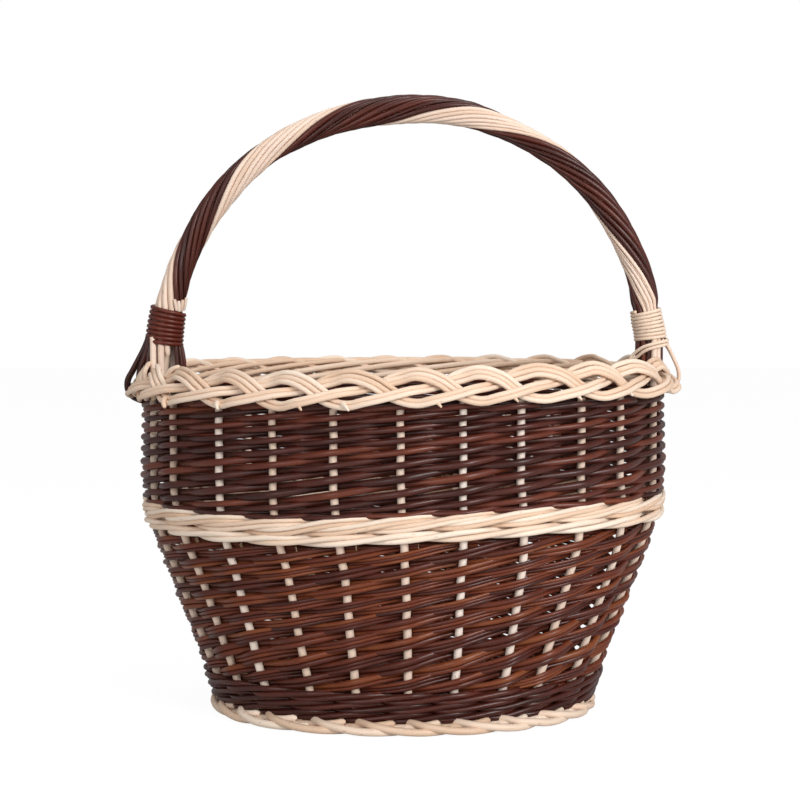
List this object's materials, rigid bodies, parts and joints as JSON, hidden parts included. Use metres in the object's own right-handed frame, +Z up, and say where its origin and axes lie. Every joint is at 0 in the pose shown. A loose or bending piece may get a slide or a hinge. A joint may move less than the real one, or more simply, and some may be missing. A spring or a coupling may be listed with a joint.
{
  "type": "foraging basket",
  "caption": "Oval woven willow basket with flared wall, pale waled band, plaited rim, ring foot and a fixed bow handle wrapped in twisted rods.",
  "frame": {"origin": "middle of the foot, at the level it stands on", "axes": "+Z up, X along the basket under the bow handle, Y across it"},
  "size_m": [0.415, 0.3222, 0.4608],
  "materials": {
    "dark_brown_willow": "satin bark",
    "russet_willow": "satin bark",
    "reddish_willow": "satin bark",
    "peeled_willow": "smooth peeled",
    "cream_willow": "smooth peeled"
  },
  "bodies": {
    "root": {"base_long_stick_1": "peeled_willow", "base_long_stick_2": "peeled_willow", "base_long_stick_3": "peeled_willow", "base_short_stick_1": "peeled_willow", "base_short_stick_2": "peeled_willow", "base_short_stick_3": "peeled_willow", "base_short_stick_4": "peeled_willow", "base_short_stick_5": "peeled_willow", "base_weaver_a": "russet_willow", "base_weaver_b": "russet_willow", "belly_wale": "peeled_willow", "foot_border": "peeled_willow", "handle_brown_rod_1": "dark_brown_willow", "handle_brown_rod_2": "dark_brown_willow", "handle_brown_rod_3": "dark_brown_willow", "handle_brown_rod_4": "dark_brown_willow", "handle_brown_rod_5": "dark_brown_willow", "handle_brown_rod_6": "dark_brown_willow", "handle_core": "peeled_willow", "handle_pale_rod_1": "cream_willow", "handle_pale_rod_2": "cream_willow", "handle_pale_rod_3": "cream_willow", "handle_pale_rod_4": "cream_willow", "handle_pale_rod_5": "cream_willow", "handle_pale_rod_6": "cream_willow", "left_binding": "reddish_willow", "lower_weaver_a": "russet_willow", "lower_weaver_b": "russet_willow", "right_binding": "peeled_willow", "rim_plait_strand_1": "peeled_willow", "rim_plait_strand_2": "peeled_willow", "rim_plait_strand_3": "peeled_willow", "stake_01": "cream_willow", "stake_02": "cream_willow", "stake_03": "cream_willow", "stake_04": "cream_willow", "stake_05": "cream_willow", "stake_06": "cream_willow", "stake_07": "cream_willow", "stake_08": "cream_willow", "stake_09": "cream_willow", "stake_10": "cream_willow", "stake_11": "cream_willow", "stake_12": "cream_willow", "stake_13": "cream_willow", "stake_14": "cream_willow", "stake_15": "cream_willow", "stake_16": "cream_willow", "stake_17": "cream_willow", "stake_18": "cream_willow", "stake_19": "cream_willow", "stake_20": "cream_willow", "stake_21": "cream_willow", "stake_22": "cream_willow", "stake_23": "cream_willow", "stake_24": "cream_willow", "upper_weaver_a": "dark_brown_willow", "upper_weaver_b": "dark_brown_willow", "upsett_wale": "dark_brown_willow"}
  },
  "joints": []
}
